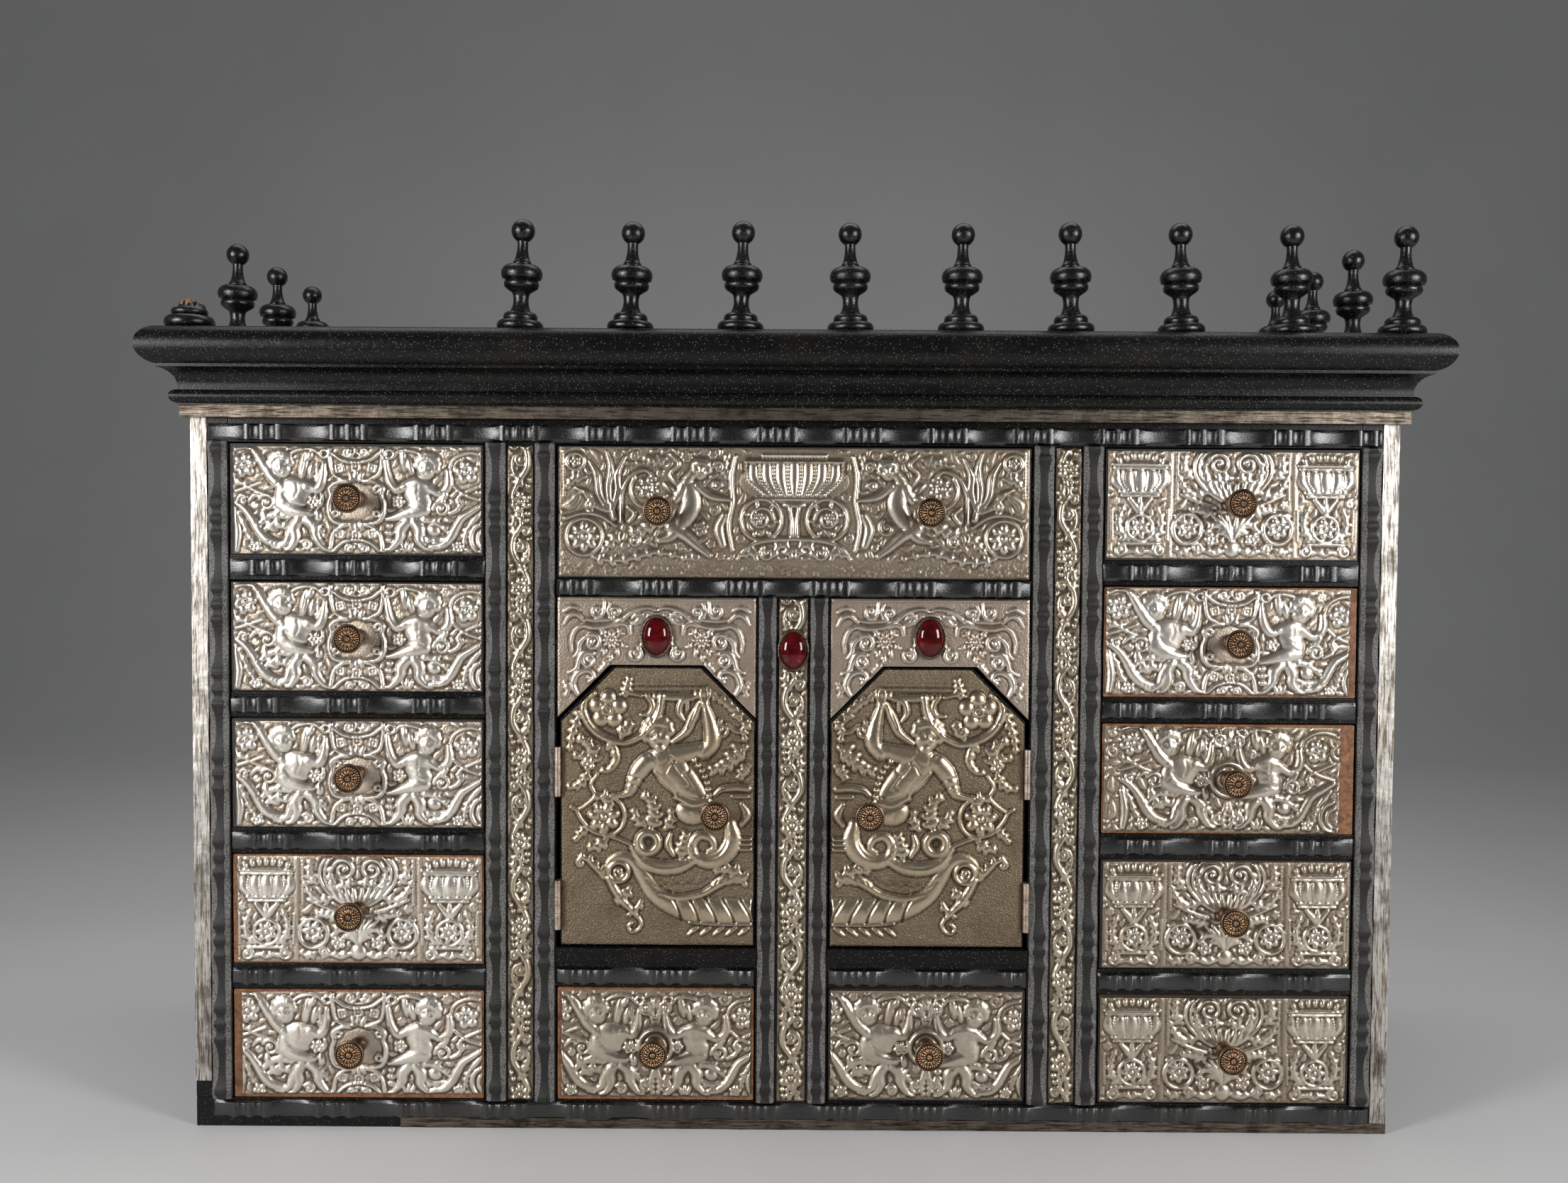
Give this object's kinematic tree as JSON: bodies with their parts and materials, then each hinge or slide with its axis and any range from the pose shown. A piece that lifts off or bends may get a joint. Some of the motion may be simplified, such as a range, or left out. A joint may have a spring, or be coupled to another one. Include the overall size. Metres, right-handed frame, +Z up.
{
  "type": "table cabinet of drawers",
  "caption": "Ebonised table cabinet with drawers and arched doors faced in embossed silver plates, rippled mouldings and a cornice with turned finials",
  "frame": {"origin": "middle of the base, at the bottom centre of the bounding box", "axes": "+X along the front to the right, -Y out of the drawers, +Z up"},
  "size_m": [0.9588, 0.3344, 0.683],
  "materials": {
    "ebonised_wood": "polished black",
    "bare_wood": "waxed, worn",
    "silver": "embossed, with brown tarnish in the hollows",
    "bronze": "turned, browned",
    "hinge_metal": "dull",
    "red_glass": "polished dome"
  },
  "bodies": {
    "case": {"side_boards": "ebonised_wood", "base_board": "ebonised_wood", "back_board": "bare_wood", "partitions": "bare_wood", "shelves": "bare_wood", "front_frame": "ebonised_wood", "cornice": "ebonised_wood", "finials": "ebonised_wood", "ripple_mouldings": "ebonised_wood", "silver_strips": "silver", "fixed_plates": "silver", "cabochons": "red_glass", "hinge_frame_halves": "hinge_metal"},
    "drawer_left_1": {"drawer_left_1_box": "bare_wood", "drawer_left_1_plate": "silver", "drawer_left_1_knob": "bronze"},
    "drawer_left_2": {"drawer_left_2_box": "bare_wood", "drawer_left_2_plate": "silver", "drawer_left_2_knob": "bronze"},
    "drawer_left_3": {"drawer_left_3_box": "bare_wood", "drawer_left_3_plate": "silver", "drawer_left_3_knob": "bronze"},
    "drawer_left_4": {"drawer_left_4_box": "bare_wood", "drawer_left_4_plate": "silver", "drawer_left_4_knob": "bronze"},
    "drawer_left_5": {"drawer_left_5_box": "bare_wood", "drawer_left_5_plate": "silver", "drawer_left_5_knob": "bronze"},
    "drawer_right_1": {"drawer_right_1_box": "bare_wood", "drawer_right_1_plate": "silver", "drawer_right_1_knob": "bronze"},
    "drawer_right_2": {"drawer_right_2_box": "bare_wood", "drawer_right_2_plate": "silver", "drawer_right_2_knob": "bronze"},
    "drawer_right_3": {"drawer_right_3_box": "bare_wood", "drawer_right_3_plate": "silver", "drawer_right_3_knob": "bronze"},
    "drawer_right_4": {"drawer_right_4_box": "bare_wood", "drawer_right_4_plate": "silver", "drawer_right_4_knob": "bronze"},
    "drawer_right_5": {"drawer_right_5_box": "bare_wood", "drawer_right_5_plate": "silver", "drawer_right_5_knob": "bronze"},
    "drawer_wide": {"drawer_wide_box": "bare_wood", "drawer_wide_plate": "silver", "drawer_wide_knob": "bronze"},
    "drawer_low_left": {"drawer_low_left_box": "bare_wood", "drawer_low_left_plate": "silver", "drawer_low_left_knob": "bronze"},
    "drawer_low_right": {"drawer_low_right_box": "bare_wood", "drawer_low_right_plate": "silver", "drawer_low_right_knob": "bronze"},
    "door_left": {"door_left_board": "bare_wood", "door_left_plate": "silver", "door_left_knob": "bronze", "door_left_hinge_leaves": "hinge_metal"},
    "door_right": {"door_right_board": "bare_wood", "door_right_plate": "silver", "door_right_knob": "bronze", "door_right_hinge_leaves": "hinge_metal"}
  },
  "joints": [
    {"name": "drawer_left_1_slide", "type": "slide", "parent": "case", "child": "drawer_left_1", "axis": [0, -1, 0], "range_m": [0, 0.23]},
    {"name": "drawer_left_2_slide", "type": "slide", "parent": "case", "child": "drawer_left_2", "axis": [0, -1, 0], "range_m": [0, 0.23]},
    {"name": "drawer_left_3_slide", "type": "slide", "parent": "case", "child": "drawer_left_3", "axis": [0, -1, 0], "range_m": [0, 0.23]},
    {"name": "drawer_left_4_slide", "type": "slide", "parent": "case", "child": "drawer_left_4", "axis": [0, -1, 0], "range_m": [0, 0.23]},
    {"name": "drawer_left_5_slide", "type": "slide", "parent": "case", "child": "drawer_left_5", "axis": [0, -1, 0], "range_m": [0, 0.23]},
    {"name": "drawer_right_1_slide", "type": "slide", "parent": "case", "child": "drawer_right_1", "axis": [0, -1, 0], "range_m": [0, 0.23]},
    {"name": "drawer_right_2_slide", "type": "slide", "parent": "case", "child": "drawer_right_2", "axis": [0, -1, 0], "range_m": [0, 0.23]},
    {"name": "drawer_right_3_slide", "type": "slide", "parent": "case", "child": "drawer_right_3", "axis": [0, -1, 0], "range_m": [0, 0.23]},
    {"name": "drawer_right_4_slide", "type": "slide", "parent": "case", "child": "drawer_right_4", "axis": [0, -1, 0], "range_m": [0, 0.23]},
    {"name": "drawer_right_5_slide", "type": "slide", "parent": "case", "child": "drawer_right_5", "axis": [0, -1, 0], "range_m": [0, 0.23]},
    {"name": "drawer_wide_slide", "type": "slide", "parent": "case", "child": "drawer_wide", "axis": [0, -1, 0], "range_m": [0, 0.23]},
    {"name": "drawer_low_left_slide", "type": "slide", "parent": "case", "child": "drawer_low_left", "axis": [0, -1, 0], "range_m": [0, 0.23]},
    {"name": "drawer_low_right_slide", "type": "slide", "parent": "case", "child": "drawer_low_right", "axis": [0, -1, 0], "range_m": [0, 0.23]},
    {"name": "door_left_swing", "type": "hinge", "parent": "case", "child": "door_left", "pos_m": [-0.1759, -0.1406, 0.22175], "axis": [0, 0, -1], "range_deg": [0, 95]},
    {"name": "door_right_swing", "type": "hinge", "parent": "case", "child": "door_right", "pos_m": [0.1759, -0.1406, 0.22175], "axis": [0, 0, 1], "range_deg": [0, 95]}
  ]
}
